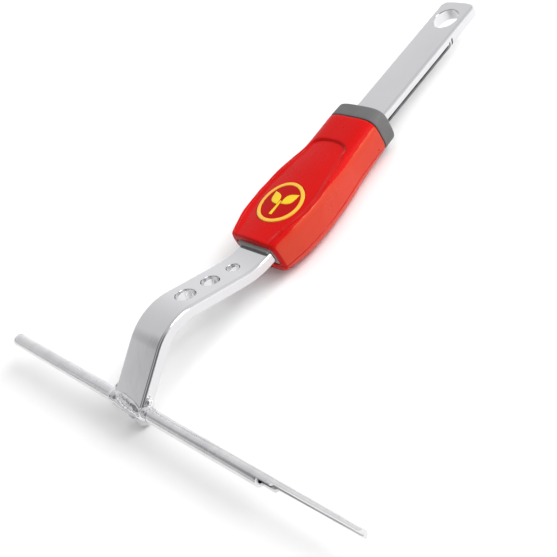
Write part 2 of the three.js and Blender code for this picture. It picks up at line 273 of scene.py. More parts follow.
def surface(name, colours, metallic, roughness, bumps, colour_scale=30.0, roughness_scale=120.0,
            specular=0.5, roughness_stretch=(1, 1, 1)):
    """Principled material whose colour, roughness and relief vary by noise.

    colours: two linear colours; roughness: (low, high); bumps: (scale, stretch, strength, distance) each."""
    material = bpy.data.materials.new(name)
    material.use_nodes = True
    tree = material.node_tree
    shader = tree.nodes["Principled BSDF"]
    shader.inputs["Metallic"].default_value = metallic
    shader.inputs["Specular IOR Level"].default_value = specular
    shade = remap(tree, linked_noise(tree, colour_scale), 0, 1)
    tree.links.new(blend_colours(tree, shade, *colours), shader.inputs["Base Color"])
    worn = remap(tree, linked_noise(tree, roughness_scale, 6.0, roughness_stretch), *roughness)
    tree.links.new(worn, shader.inputs["Roughness"])
    normal = None
    for scale, stretch, strength, distance in bumps:
        normal = bump(tree, linked_noise(tree, scale, 3.0, stretch), strength, distance, normal)
    tree.links.new(normal, shader.inputs["Normal"])
    return material


CHROME = surface("chrome", ((0.70, 0.70, 0.715), (0.735, 0.735, 0.745)), 1.0, (0.05, 0.10),
                 [(55, (1, 1, 1), 0.10, 0.0006), (900, (1, 0.15, 1), 0.04, 0.0001)],
                 roughness_scale=200, roughness_stretch=(1, 0.2, 1))
# Painted shade: a near-black steel for the faces inside the tang's side grooves and notches, standing in for
# the shadow inside them.
GROOVE_SHADE = surface("painted_groove_shade", ((0.03, 0.03, 0.03), (0.06, 0.06, 0.06)), 1.0, (0.25, 0.40),
                 [(900, (1, 1, 1), 0.2, 0.0001)], colour_scale=300)
TUBE_CHROME = surface("tube_chrome", ((0.70, 0.70, 0.71), (0.80, 0.80, 0.805)), 1.0, (0.20, 0.30),
                      [(70, (1, 1, 1), 0.10, 0.0005), (900, (0.1, 1, 1), 0.08, 0.0001)],
                      colour_scale=160, roughness_scale=200, roughness_stretch=(0.2, 1, 1))
STEEL = surface("foot_steel", ((0.66, 0.66, 0.67), (0.80, 0.80, 0.81)), 1.0, (0.08, 0.18),
                [(300, (1, 1, 1), 0.14, 0.0003)])
WELD = surface("weld_steel", ((0.66, 0.66, 0.665), (0.84, 0.84, 0.85)), 1.0, (0.14, 0.26),
               [(260, (1, 1, 1), 0.16, 0.0004)], colour_scale=300)
RED = surface("red_plastic", ((0.51, 0.005, 0.0045), (0.54, 0.006, 0.0055)), 0.0, (0.24, 0.34),
              [(2600, (1, 1, 1), 0.05, 0.00006)], colour_scale=40, roughness_scale=90, specular=0.08)
FLANK_RED = surface("flank_red_plastic", ((0.49, 0.005, 0.0045), (0.52, 0.006, 0.0055)), 0.0, (0.26, 0.36),
                    [(2600, (1, 1, 1), 0.05, 0.00006)], colour_scale=40, roughness_scale=90, specular=0.8)
FLANK_RED.node_tree.nodes["Principled BSDF"].inputs["Specular Tint"].default_value = (1.0, 0.85, 0.42, 1)
GREY = surface("grey_plastic", ((0.112, 0.111, 0.110), (0.128, 0.127, 0.126)), 0.0, (0.5, 0.66),
               [(1800, (1, 1, 1), 0.14, 0.00012)], colour_scale=60, roughness_scale=300, specular=0.3)
LIGHT_GREY = surface("light_grey_plastic", ((0.27, 0.265, 0.26), (0.30, 0.295, 0.29)), 0.0, (0.5, 0.66),
                     [(1800, (1, 1, 1), 0.14, 0.00012)], colour_scale=60, roughness_scale=300, specular=0.3)
BADGE_RED = surface("badge_red", ((0.38, 0.006, 0.005), (0.42, 0.007, 0.006)), 0.0, (0.40, 0.52),
                    [(2600, (1, 1, 1), 0.05, 0.00006)], colour_scale=80, specular=0.06)
BADGE_AMBER = surface("badge_amber", ((0.80, 0.40, 0.035), (0.84, 0.45, 0.045)), 0.0, (0.34, 0.46),
                      [(2200, (1, 1, 1), 0.06, 0.00006)], colour_scale=80, specular=0.3)
BADGE_YELLOW = surface("badge_yellow", ((0.72, 0.50, 0.010), (0.76, 0.55, 0.015)), 0.0, (0.34, 0.46),
                       [(2200, (1, 1, 1), 0.06, 0.00006)], colour_scale=80, specular=0.3)


def piece(obj, nodes, material, sharp=35.0, weighted=True):
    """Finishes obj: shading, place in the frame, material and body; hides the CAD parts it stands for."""
    transform(obj, Matrix.Scale(MM, 4) @ Matrix.Translation(ORIGIN))
    if not obj.data.materials:
        obj.data.materials.append(material)
    obj.data.shade_smooth()
    obj.data.set_sharp_from_angle(angle=math.radians(sharp))
    if weighted:
        modifier = obj.modifiers.new("normals", "WEIGHTED_NORMAL")
        modifier.keep_sharp = True
        bake(obj)
    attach(obj, "root")
    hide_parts(*nodes)
    return obj


# ---------- flat bar ----------

def bar_curve():
    """Start of each stretch of the bar's centre line: (length so far, y, z, angle, turning radius or 0)."""
    drop = (LEG_BEND_R * (math.cos(MID_ANGLE) - math.cos(LEG_ANGLE)) + MID_LENGTH * math.sin(MID_ANGLE)
            - NECK_BEND_R * (1 - math.cos(MID_ANGLE)))
    leg = -drop / math.sin(LEG_ANGLE)
    stretches = []
    s, y, z, angle = 0.0, 0.0, 0.0, LEG_ANGLE
    for length, radius, turn in ((leg, 0, 0),
                                 (LEG_BEND_R * (LEG_ANGLE - MID_ANGLE), LEG_BEND_R, -1),
                                 (MID_LENGTH, 0, 0),
                                 (-NECK_BEND_R * MID_ANGLE, NECK_BEND_R, 1),
                                 (1e3, 0, 0)):
        stretches.append((s, y, z, angle, turn * radius))
        if radius:
            after = angle + turn * length / radius
            y += turn * radius * (math.sin(after) - math.sin(angle))
            z -= turn * radius * (math.cos(after) - math.cos(angle))
            angle = after
        else:
            y += length * math.cos(angle)
            z += length * math.sin(angle)
        s += length
    return stretches


STRETCHES = bar_curve()
MID_START = STRETCHES[2][0]
TANG_START = STRETCHES[4][0]
BAR_LENGTH = TANG_START + TANG_END - STRETCHES[4][1]


def along_tang(y):
    """Length along the bar at height y of the straight tang."""
    return TANG_START + y - STRETCHES[4][1]


def bend_bar(obj):
    """Maps the straight bar (x, length, offset) on to its bent centre line."""
    for vertex in obj.data.vertices:
        x, s, offset = vertex.co
        start, y, z, angle, radius = next(p for p in reversed(STRETCHES) if s >= p[0] or p is STRETCHES[0])
        run = s - start
        if radius:
            after = angle + run / radius
            y += radius * (math.sin(after) - math.sin(angle))
            z -= radius * (math.cos(after) - math.cos(angle))
            angle = after
        else:
            y += run * math.cos(angle)
            z += run * math.sin(angle)
        vertex.co = (x, y - offset * math.sin(angle), z + offset * math.cos(angle))
    return obj


def tang_fall(half):
    """How far the tang's arched end lies behind its middle at half a width."""
    return TANG_ARCH * max(0.0, (half - TANG_FLAT_HALF) / (BAR_HALF - TANG_FLAT_HALF)) ** 1.5


def bar_stations():
    """Plan of the bar's right side: (half width, length, outline normal) from the foot to the tang's end."""
    bend_one = MID_START - LEG_BEND_R * (LEG_ANGLE - MID_ANGLE)
    bend_two = MID_START + MID_LENGTH
    straight_end = BAR_LENGTH - TANG_ARCH - TANG_CORNER
    steps = [-3.0, -0.5, *np.arange(2, bend_one, 3.0)]
    steps += list(np.linspace(bend_one, MID_START, 40))
    steps += list(np.linspace(MID_START, bend_two, 10)[1:-1])
    steps += list(np.linspace(bend_two, TANG_START, 30))
    steps += list(np.linspace(TANG_START, straight_end, 30)[1:])
    stations = [(BAR_HALF, s, (1, 0)) for s in steps]
    outline = [(BAR_HALF - TANG_CORNER * (1 - math.cos(turn)), TANG_CORNER * math.sin(turn))
               for turn in (math.pi / 2 * i / 14 for i in range(1, 15))]
    outline += [(half, TANG_CORNER) for half in (6.2, 5.4, 4.6, 3.8, 3.1, TANG_FLAT_HALF)]
    base = BAR_LENGTH - TANG_CORNER
    points = [(half, base + up - tang_fall(half)) for half, up in outline]
    previous = (BAR_HALF, straight_end)
    for i, point in enumerate(points):
        after = points[i + 1] if i + 1 < len(points) else (point[0] - 1, point[1])
        direction = Vector((after[0] - previous[0], after[1] - previous[1])).normalized()
        stations.append((point[0], point[1], (direction.y, -direction.x)))
        previous = point
    return stations


def edge_layers():
    """(inset, offset) of the bar's rounded edge, from the front face to the back face."""
    top = BAR_THICK / 2 - BAR_EDGE
    front = [(BAR_EDGE * (1 - math.cos(a)), top + BAR_EDGE * math.sin(a))
             for a in (math.pi / 2 * (1 - i / 8) for i in range(9))]
    return front + [(inset, -offset) for inset, offset in reversed(front)]


def straight_bar():
    """The bar before it is bent: x across, length along Y, offset from its middle plane in Z."""
    stations, layers = bar_stations(), edge_layers()
    rows, depth = len(stations), len(layers)
    points = []
    for sign in (1, -1):
        for half, s, normal in stations:
            points += [(sign * (half - normal[0] * inset), s - normal[1] * inset, offset)
                       for inset, offset in layers]
    right = lambda k, j: k * depth + j
    left = lambda k, j: (rows + k) * depth + j
    faces = []
    for k in range(rows - 1):
        for j in range(depth - 1):
            faces.append((right(k, j), right(k, j + 1), right(k + 1, j + 1), right(k + 1, j)))
            faces.append((left(k, j), left(k + 1, j), left(k + 1, j + 1), left(k, j + 1)))
        for j in (0, depth - 1):
            faces.append((left(k, j), right(k, j), right(k + 1, j), left(k + 1, j)))
    last = rows - 1
    for j in range(depth - 1):
        faces.append((left(last, j), right(last, j), right(last, j + 1), left(last, j + 1)))
    faces.append((*(right(0, j) for j in range(depth)), *(left(0, j) for j in reversed(range(depth)))))
    return mesh_object("bar", points, faces)


def hole_cutter(s, radius):
    """Round cutter across the bar whose mouths flare at both faces."""
    half = BAR_THICK / 2
    flare = [(radius + HOLE_LIP * (1 - math.cos(a)), half - HOLE_LIP + HOLE_LIP * math.sin(a))
             for a in (math.pi / 2 * i / 6 for i in range(7))]
    mouth = radius + HOLE_LIP
    profile = [(mouth, half + 2), *reversed(flare), *((r, -h) for r, h in flare), (mouth, -half - 2)]
    return transform(turned("hole", profile, 72), Matrix.Translation((0, s, 0)))


def groove_cutters(sign):
    """Two slots along one narrow side of the tang, and the two short slanted notches at their end."""
    start, end = along_tang(COLLAR_END - 6), along_tang(NOTCHES[0][0] - 0.6)
    outer, inner = sign * (BAR_HALF + 0.5), sign * (BAR_HALF - GROOVE_DEPTH)
    for z, reach in GROOVES:
        rings = []
        for s, inset in ((start, 0.0), (end - 0.8, 0.0), (end, GROOVE_DEPTH + 0.02)):
            floor = inner + sign * inset
            rings.append([(outer, s, z - reach - 0.08), (floor, s, z - reach + 0.08),
                          (floor, s, z + reach - 0.08), (outer, s, z + reach + 0.08)])
        yield loft("groove", rings)
    for y, top in NOTCHES:
        s = along_tang(y)
        yield loft("notch", [[(outer, s - 0.55 + lean, z), (outer, s + 0.55 + lean, z),
                              (inner, s + 0.35 + lean, z), (inner, s - 0.35 + lean, z)]
                             for z, lean in ((-BAR_THICK / 2 - 0.2, -0.7), (top, 0.7))])


def paint_groove_shade(obj, material):
    """Paints shade into the side grooves and notches: their faces get a second, near-black material that
    stands in for the shadow inside them.
    """
    obj.data.materials.append(material)
    start = along_tang(COLLAR_END - 8)
    for face in obj.data.polygons:
        deep = min(abs(obj.data.vertices[v].co.x) for v in face.vertices)
        if face.center.y > start and abs(deep - (BAR_HALF - GROOVE_DEPTH)) < 0.02:
            face.material_index = 1


def saddle_cylinder():
    """Clears the leg's foot around the saddle."""
    radius, half = SADDLE_R - 0.3, SADDLE_HALF + 4
    return transform(turned("clearance", [(radius, -half), (radius, half)], 96), ALONG_X)


bar = straight_bar()
for along, radius in NECK_HOLES:
    combine(bar, hole_cutter(MID_START + along, radius))
combine(bar, hole_cutter(along_tang(TANG_HOLE_AT), TANG_HOLE_R))
for sign in (-1, 1):
    for cutter in groove_cutters(sign):
        combine(bar, cutter)
bar.data.materials.append(CHROME)
# paints shade into the side grooves and notches by giving their faces the near-black steel
paint_groove_shade(bar, GROOVE_SHADE)
bend_bar(bar)
combine(bar, saddle_cylinder())
piece(bar, ["neck_bar"], CHROME, sharp=40)


# ---------- cross tube ----------

def gouge_plan(x):
    """How far behind the axis the gouge's cut runs at x."""
    cuts = ((GOUGE_START, -0.98), (GOUGE_STEP - 0.2, -0.98), (GOUGE_STEP + 0.6, 0.35), (TIP - 1.4, 0.8),
            (TIP - 0.8, 0.9), (TIP - 0.4, 1.05), (TIP - 0.12, 1.25), (TIP, 1.45))
    return float(np.interp(x, [c[0] for c in cuts], [c[1] for c in cuts]))


def cross_tube():
    """Tube, open from GOUGE_START on at its front, down to a narrow gouge with a rounded tip."""
    count, half = 96, GOUGE_SEGMENTS
    outer_at = lambda a: (TUBE_R * math.cos(a), TUBE_R * math.sin(a))
    inner_at = lambda a: (TUBE_BORE * math.cos(a), TUBE_BORE * math.sin(a))
    points, faces = [], []
    # closed part: angle 0 points to +y, where the gouge's wall stays; the first points carry on as the gouge
    angles = [TAU * (i - half / 2) / count for i in range(count)]
    stations = [TUBE_LEFT, TUBE_LEFT + 2, -60, -30, 0, 30, 60, GOUGE_START - 2, GOUGE_START]
    for x in stations:
        points += [(x, *outer_at(a)) for a in angles]
        points += [(x, *inner_at(a)) for a in angles]
    outer = lambda k, i: k * 2 * count + i % count
    inner = lambda k, i: k * 2 * count + count + i % count
    last = len(stations) - 1
    for i in range(count):
        for k in range(last):
            faces.append((outer(k, i), outer(k, i + 1), outer(k + 1, i + 1), outer(k + 1, i)))
            faces.append((inner(k, i), inner(k + 1, i), inner(k + 1, i + 1), inner(k, i + 1)))
        faces.append((outer(0, i), inner(0, i), inner(0, i + 1), outer(0, i + 1)))
        if i >= half:
            faces.append((outer(last, i), outer(last, i + 1), inner(last, i + 1), inner(last, i)))
    # gouge: outer arc, lip, trough, lip
    rows = [GOUGE_START + 0.001, 82, 84, 86, GOUGE_STEP - 0.2, GOUGE_STEP, GOUGE_STEP + 0.2, GOUGE_STEP + 0.4,
            GOUGE_STEP + 0.6, 90, *np.arange(93, TIP - 2, 3.0), TIP - 1.4, TIP - 1.1, TIP - 0.8, TIP - 0.6,
            TIP - 0.4, TIP - 0.25, TIP - 0.12, TIP]
    base = len(points)
    width = half + 1
    for x in rows[1:]:
        cut = gouge_plan(x)
        wide = math.acos(min(1.0, cut / TUBE_R))
        deep = min(wide, math.acos(np.clip(cut / TUBE_BORE, -1.0, 0.99995)))
        points += [(x, *outer_at(wide * (2 * i / half - 1))) for i in range(width)]
        for i in range(width):
            y, z = inner_at(deep * (2 * i / half - 1))
            points.append((x, max(y, cut) if cut > 0 else y, z))
    row_outer = lambda k, i: outer(last, i) if k == 0 else base + (k - 1) * 2 * width + i
    row_inner = lambda k, i: inner(last, i) if k == 0 else base + (k - 1) * 2 * width + width + i
    for k in range(len(rows) - 1):
        for i in range(half):
            faces.append((row_outer(k, i), row_outer(k, i + 1),
                          row_outer(k + 1, i + 1), row_outer(k + 1, i)))
            faces.append((row_inner(k, i), row_inner(k + 1, i),
                          row_inner(k + 1, i + 1), row_inner(k, i + 1)))
        for i in (0, half):
            faces.append((row_outer(k, i), row_outer(k + 1, i), row_inner(k + 1, i), row_inner(k, i)))
    end = len(rows) - 1
    for i in range(half):
        faces.append((row_outer(end, i), row_outer(end, i + 1), row_inner(end, i + 1), row_inner(end, i)))
    tube = mesh_object("tube", points, faces)
    modifier = tube.modifiers.new("edges", "BEVEL")
    modifier.width = 0.14
    modifier.segments = 2
    modifier.limit_method = "ANGLE"
    modifier.angle_limit = math.radians(50)
    modifier.use_clamp_overlap = True
    return bake(tube)


piece(cross_tube(), ["cross_tube"], TUBE_CHROME, sharp=50)

plug_profile = [(0, -PLUG_CAP), (TUBE_R - 0.75, -PLUG_CAP), (TUBE_R - 0.45, -PLUG_CAP + 0.05),
                (TUBE_R - 0.15, -PLUG_CAP + 0.3), (TUBE_R, -0.3), (TUBE_R, -0.03), (TUBE_BORE - FIT, -0.03),
                (TUBE_BORE - FIT, 7.6), (TUBE_BORE - 0.4, 8), (0, 8)]
plug = turned("plug", plug_profile, 64)
transform(plug, Matrix.Translation((TUBE_LEFT, 0, 0)) @ ALONG_X)
piece(plug, ["tube_plug"], TUBE_CHROME, sharp=50)


# ---------- foot ----------

def foot_saddle():
    """Brazed sleeve: thin at its ends, lumpy at both ears and along the leg's front."""
    count, around, half = 120, 120, SADDLE_HALF
    lumps = ((-11.0, 120, 1.0, 1.6, 40), (11.6, 100, 0.9, 1.5, 45), (8.5, 165, 0.75, 2.6, 34),
             (-4.0, 160, 0.5, 5.0, 26))
    outer = []
    for k in range(count + 1):
        x = half * (2 * k / count - 1)
        ring = []
        for i in range(around):
            angle = TAU * i / around
            thick = 0.12 * float(smoothstep(0.0, 1.2, half - abs(x)))
            for at, degrees, height, reach, spread in lumps:
                apart = (math.degrees(angle) - degrees + 180) % 360 - 180
                thick += height * math.exp(-((x - at) / reach) ** 2 - (apart / spread) ** 2) \
                    * float(smoothstep(0.0, 2.0, half - abs(x)))
            grain = noise.noise(Vector((x * 0.3, 1.6 * math.cos(angle), 1.6 * math.sin(angle))))
            fine = noise.noise(Vector((x * 0.9 + 9, 3.5 * math.cos(angle), 3.5 * math.sin(angle))))
            r = SADDLE_BORE + 0.05 + max(0.02, thick * (1 + 0.3 * grain + 0.06 * fine))
            ring.append((x, r * math.cos(angle), r * math.sin(angle)))
        outer.append(ring)
    inner = [[(x, SADDLE_BORE * math.cos(TAU * i / around), SADDLE_BORE * math.sin(TAU * i / around))
              for i in range(around)] for x in (half, -half)]
    return loft("saddle", outer + inner + outer[:1], closed_ends=False)


piece(foot_saddle(), ["foot_saddle"], STEEL, sharp=60)

rivet_top = -SADDLE_R - 1.1
rivet_dome = ((0, 0), (1.2, 0.02), (1.9, 0.12), (2.5, 0.4), (3.0, 0.8), (3.4, 1.4), (RIVET_R, 2.2))
rivet_profile = [(r, -BELLY + rise) for r, rise in rivet_dome]
rivet_profile += [(RIVET_R, rivet_top - 0.2), (RIVET_R - 0.2, rivet_top), (1.5, rivet_top),
                  (1.5, -0.15), (0, -0.15)]
piece(turned("rivet", rivet_profile, 64), ["foot_rivet"], STEEL, sharp=50)

washer_top = -SADDLE_R - 0.05
washer_profile = [(1.6, washer_top - 1.0), (WASHER_R - 0.25, washer_top - 1.0), (WASHER_R, washer_top - 0.75),
                  (WASHER_R, washer_top - 0.25), (WASHER_R - 0.25, washer_top), (1.6, washer_top)]
washer_rings = [[(r * math.cos(TAU * i / 64), r * math.sin(TAU * i / 64), h) for r, h in washer_profile]
                for i in range(64)]
washer = loft("washer", washer_rings + washer_rings[:1], closed_ends=False)
piece(washer, ["rivet_washer"], STEEL, sharp=50)


def weld_bead(name, centre, radii, tilt, seed, skew=0.0, rough=1.0):
    """Lumpy bead: an ellipsoid whose skin swells and ripples as a weld does."""
    bm = bmesh.new()
    bmesh.ops.create_icosphere(bm, subdivisions=6, radius=1.0)
    turn = Matrix.Rotation(tilt, 4, "X") @ Matrix.Rotation(skew, 4, "Z")
    shift = Vector((seed * 7.3, seed * 3.1, seed * 5.7))
    for vertex in bm.verts:
        p = Vector(c * r for c, r in zip(vertex.co, radii))
        out = Vector(c / r for c, r in zip(vertex.co, radii)).normalized()
        swell = 0.5 * noise.noise(p * 0.35 + shift) + 0.2 * noise.noise(p * 0.9 + shift)
        vertex.co = turn @ (p + out * (rough * swell)) + Vector(centre)
    mesh = bpy.data.meshes.new(name)
    bm.to_mesh(mesh)
    bm.free()
    obj = bpy.data.objects.new(name, mesh)
    bpy.context.scene.collection.objects.link(obj)
    return obj


for sign, side in ((-1, "left"), (1, "right")):
    bead = weld_bead(f"weld_{side}", (sign * 10.4, 3.4, 2.2), (1.9, 3.0, 2.2), LEG_ANGLE, 3 + sign)
    piece(bead, [f"weld_bead_{side}"], WELD, sharp=60)

front_bead = weld_bead("weld_front", (0.5, -0.87, 3.34), (9.4, 2.5, 1.1), LEG_ANGLE + 0.08, 9, -0.14, 0.5)
piece(front_bead, ["weld_bead_front"], WELD, sharp=60)


# ---------- grip ----------

# along the bar, half width, height in front of and behind the bar's axis
GRIP_STATIONS = np.array((
    (86.5, 14.2, 10.0, 10.2),
    (88, 14.9, 10.3, 10.5),
    (93, 16.2, 11.0, 11.6),
    (100, 17.7, 11.8, 12.4),
    (112, 18.6, 12.1, BELLY),
    (124, 18.0, 11.3, BELLY),
    (134, 16.8, 9.9, 12.5),
    (143, 15.5, 9.0, 11.9),
    (152, 15.1, 9.4, 11.0),
    (163, 14.9, 10.0, 10.0),
    (171, 14.7, 9.9, 9.9),
))
# along the bar, half width of the front panel
PANEL_OUTLINE = ((70, 11.0), (86, 12.6), (88, 12.9), (95, 14.5), (104, 16.8), (110, 17.5), (116, 17.5),
                 (122, 16.8), (127, 15.9), (132, 15.0), (137, 13.9), (141, 12.6), (144, 11.2), (146, 9.4),
                 (147.5, 7.2), (148.4, 4.6), (148.8, 2.2), (148.9, 0.0))


def spline(stations, column, y):
    """Smooth curve through a column of stations (monotone cubic)."""
    xs, ys = stations[:, 0], stations[:, column]
    h = np.diff(xs)
    slope = np.diff(ys) / h
    tangent = np.zeros_like(ys)
    for i in range(1, len(xs) - 1):
        if slope[i - 1] * slope[i] > 0:
            w1, w2 = 2 * h[i] + h[i - 1], h[i] + 2 * h[i - 1]
            tangent[i] = (w1 + w2) / (w1 / slope[i - 1] + w2 / slope[i])
    tangent[0], tangent[-1] = slope[0], slope[-1]
    k = int(np.clip(np.searchsorted(xs, y) - 1, 0, len(xs) - 2))
    t = (y - xs[k]) / h[k]
    return float((1 + 2 * t) * (1 - t) ** 2 * ys[k] + t * (1 - t) ** 2 * h[k] * tangent[k]
                 + t * t * (3 - 2 * t) * ys[k + 1] + t * t * (t - 1) * h[k] * tangent[k + 1])


def smooth_outline(points, step=0.35):
    """The outline as close points on smooth curves; its rounded top is followed by angle."""
    table = np.array([(along, half) for along, half in points if along <= 144])
    sides = [(y, spline(table, 1, y)) for y in np.arange(points[0][0], 143.01, step)]
    base_y, base_half = sides[-1]
    top = points[-1][0]
    for i in range(1, 40):
        a = math.pi / 2 * i / 40
        sides.append((base_y + (top - base_y) * math.sin(a) ** 0.9, base_half * math.cos(a) ** 0.8))
    return sides + [(float(top), 0.0)]


def distance_inside(x, y, outline):
    """Signed distance of points (x, y) to the outline mirrored about x 0: positive inside."""
    px, py = np.abs(x), y
    best = np.full(px.shape, 1e9)
    pairs = [(half, along) for along, half in outline]
    for (ax, ay), (bx, by) in zip(pairs, pairs[1:]):
        dx, dy = bx - ax, by - ay
        t = np.clip(((px - ax) * dx + (py - ay) * dy) / (dx * dx + dy * dy), 0, 1)
        best = np.minimum(best, np.hypot(px - ax - t * dx, py - ay - t * dy))
    along = np.array([o[0] for o in outline])
    half = np.array([o[1] for o in outline])
    inside = (px < np.interp(py, along, half)) & (py < outline[-1][0])
    return np.where(inside, best, -best)


PANEL_EDGE = smooth_outline(PANEL_OUTLINE)


def panel_height(x, y):
    """Front panel: slightly crowned across, sinking a little towards its top."""
    return PANEL_HEIGHT - PANEL_CROWN * (x / 17.6) ** 2 - PANEL_DIP * smoothstep(128, 148, y)


def section(y, samples):
    """Superellipse section of the grip at y, as x, z arrays starting at +x and going over the top."""
    width = spline(GRIP_STATIONS, 1, y)
    front = spline(GRIP_STATIONS, 2, y)
    back = spline(GRIP_STATIONS, 3, y)
    angle = np.linspace(0, TAU, samples, endpoint=False)
    c, s = np.cos(angle), np.sin(angle)
    height = np.where(s > 0, front, back)
    power = np.abs(c / width) ** SECTION_EXPONENT + np.abs(s / height) ** SECTION_EXPONENT
    radius = power ** (-1 / SECTION_EXPONENT)
    return radius * c, radius * s, width, front, back


def superellipse(at, reach, across):
    """Half size of a superellipse section across, at a distance from its centre along its other axis."""
    return across * np.maximum(0.0, 1 - np.abs(at / reach) ** SECTION_EXPONENT) ** (1 / SECTION_EXPONENT)


def recess(x, z, y, width, front):
    """Sinks the points of a front section into the panel, whose wall falls from the crest of its outline."""
    inside = distance_inside(x, np.full_like(x, y), PANEL_EDGE)
    crest = float(np.interp(y, [o[0] for o in PANEL_EDGE], [o[1] for o in PANEL_EDGE]))
    rise = float(np.clip(superellipse(crest, width, front) - panel_height(crest, y), 0.35, 1.7))
    wall = PANEL_WALL_SIDE + (PANEL_WALL_TOP - PANEL_WALL_SIDE) * smoothstep(137.0, 147.0, y)
    floor = panel_height(x, y) + rise * (1 - smoothstep(0.0, wall, inside)) + 1.6 * np.maximum(0.0, -inside)
    groove = PANEL_GROOVE_DEPTH * np.exp(-((inside - PANEL_GROOVE_AT) / PANEL_GROOVE_HALF) ** 2)
    floor = floor - groove * (1 - smoothstep(136.0, 143.0, y))
    soft = 0.5 * (z + floor - np.sqrt((z - floor) ** 2 + 0.03))
    return np.where(z > 0, soft, z)


def end_insets(start, end, radius, steps=6):
    """(y, inset) pairs that round a body's two ends."""
    pairs = []
    for i in range(steps + 1):
        a = math.pi / 2 * i / steps
        pairs.append((start + radius * (1 - math.cos(a)), radius * (1 - math.sin(a))))
    return pairs + [(start + end - y, inset) for y, inset in reversed(pairs)]


def shell_stations(length, crest):
    """Lengths along a shell's section where it is sampled: close at the seams, always on both crests."""
    seam = [0, 0.05, 0.1, 0.15, 0.22, 0.3, 0.38, 0.46]
    side = [*seam, *np.linspace(seam[-1], crest, 50)[1:]]
    middle = np.linspace(crest, length - crest, 141)[1:-1]
    return np.array([*side, *middle, *(length - a for a in reversed(side))])


def grip_shell(name, below):
    """The grip's front shell, or the rear one below the seams, as a skin through closed sections."""
    seam = SPLIT - SHELL_GAP if below else SPLIT + SHELL_GAP
    rounding = end_insets(GRIP_START, GRIP_END, 1.1)
    half = len(rounding) // 2
    middle = [*np.arange(GRIP_START + 1.5, 139, 0.5), *np.arange(139, 151, 0.25),
              *np.arange(151, GRIP_END - 1.2, 0.5)]
    rows = rounding[:half] + [(y, 0.0) for y in middle] + rounding[half:]
    rings = []
    for y, inset in rows:
        x, z, width, front, back = section(y, samples=1600)
        keep = z < seam if below else z > seam
        order = np.argsort(np.mod(np.arctan2(-z if below else z, x) + math.pi / 2, TAU))
        order = order[keep[order]]
        edge_x = superellipse(seam, back, width)
        x = np.concatenate(([edge_x], x[order], [-edge_x]))
        z = np.concatenate(([seam], z[order], [seam]))
        length = np.concatenate(([0], np.cumsum(np.hypot(np.diff(x), np.diff(z)))))
        crest = np.interp(min(y, 141.0), [o[0] for o in PANEL_EDGE], [o[1] for o in PANEL_EDGE])
        widest = int(np.argmax(x))
        fall = np.flatnonzero(x[widest:] < crest)[0] + widest
        before = length[fall - 1]
        share = (x[fall - 1] - crest) / (x[fall - 1] - x[fall])
        at = shell_stations(length[-1], before + share * (length[fall] - before))
        x, z = np.interp(at, length, x), np.interp(at, length, z)
        if not below:
            z = recess(x, z, y, width, front)
        near = np.clip(1 - np.minimum(at, length[-1] - at) / SEAM_ROUNDING, 0, 1)
        x = x - np.sign(x) * SEAM_ROUNDING * (1 - np.sqrt(1 - near ** 2))
        x = x * (1 - inset / width)
        z = seam + (z - seam) * (1 - inset / max(1e-6, np.max(np.abs(z - seam))))
        rings.append([(float(a), float(y), float(b)) for a, b in zip(x, z)])
    return loft(name, rings)


def polish_flanks(shell):
    """Gives a shell's sideways faces the glossier plastic."""
    shell.data.materials.append(FLANK_RED)
    for face in shell.data.polygons:
        if abs(face.normal.x) > 0.86:
            face.material_index = 1


def core_cutter():
    """Tunnel for the core through the grip, flared at the mouth."""
    rings = []
    for y, grow in ((GRIP_START - 2, 0.6), (GRIP_START, 0.6), (GRIP_START + 0.25, 0.4),
                    (GRIP_START + 0.6, 0.28), (GRIP_START + 1.1, 0.12), (GRIP_START + 1.8, 0.08),
                    (GRIP_END + 2, 0.08)):
        outline = rounded_rectangle(CORE_HALF_WIDTH + grow, CORE_HALF_HEIGHT + grow, 1.6 + grow, 8)
        rings.append([(x, y, z) for x, z in outline])
    return loft("tunnel", rings)


front_shell = grip_shell("grip_front_shell", False)
combine(front_shell, core_cutter())
pocket = turned("pocket", [(BADGE_R + 0.2, BADGE_BASE - 0.05), (BADGE_R + 0.2, 14)], 128)
combine(front_shell, transform(pocket, Matrix.Translation((0, BADGE_AT, 0))))
front = piece(front_shell, ["grip_front"], RED, sharp=45, weighted=False)
front.visible_glossy = False
polish_flanks(front)

rear_shell = grip_shell("grip_rear_shell", True)
combine(rear_shell, core_cutter())
rear = piece(rear_shell, ["grip_rear"], RED, sharp=45, weighted=False)
rear.visible_glossy = False
polish_flanks(rear)


def ring_prism(name, outer, inner, corner_outer, corner_inner, start, end, rim):
    """Rounded rectangular sleeve along Y with softened ends."""
    rows = end_insets(start, end, rim, 4)
    rings = [[(x, y, z)
              for x, z in rounded_rectangle(outer[0] - inset, outer[1] - inset, corner_outer, 8)]
             for y, inset in rows]
    body = loft(name, rings)
    hole = [[(x, y, z)
             for x, z in rounded_rectangle(inner[0] + grow, inner[1] + grow, corner_inner + grow, 8)]
            for y, grow in ((start - 1, 0.3), (start, 0.3), (start + 0.3, 0.0), (end - 0.3, 0.0), (end, 0.3),
                            (end + 1, 0.3))]
    return combine(body, loft("bore", hole))


core = ring_prism("core", (CORE_HALF_WIDTH, CORE_HALF_HEIGHT), (BAR_HALF + FIT, BAR_THICK / 2 + FIT),
                  1.5, 1.4, GRIP_START + 0.3, GRIP_END - 0.5, 0.4)
tongue = [[(x, y, z + (CORE_HALF_HEIGHT + BAR_THICK / 2 + FIT) / 2)
           for x, z in rounded_rectangle(BAR_HALF - 0.2 - inset, TONGUE_HALF - inset, 0.3, 4)]
          for y, inset in end_insets(CORE_START, GRIP_START + 2, 0.3, 3)]
combine(core, loft("tongue", tongue), "UNION")
piece(core, ["core_sleeve"], LIGHT_GREY, sharp=45, weighted=False)


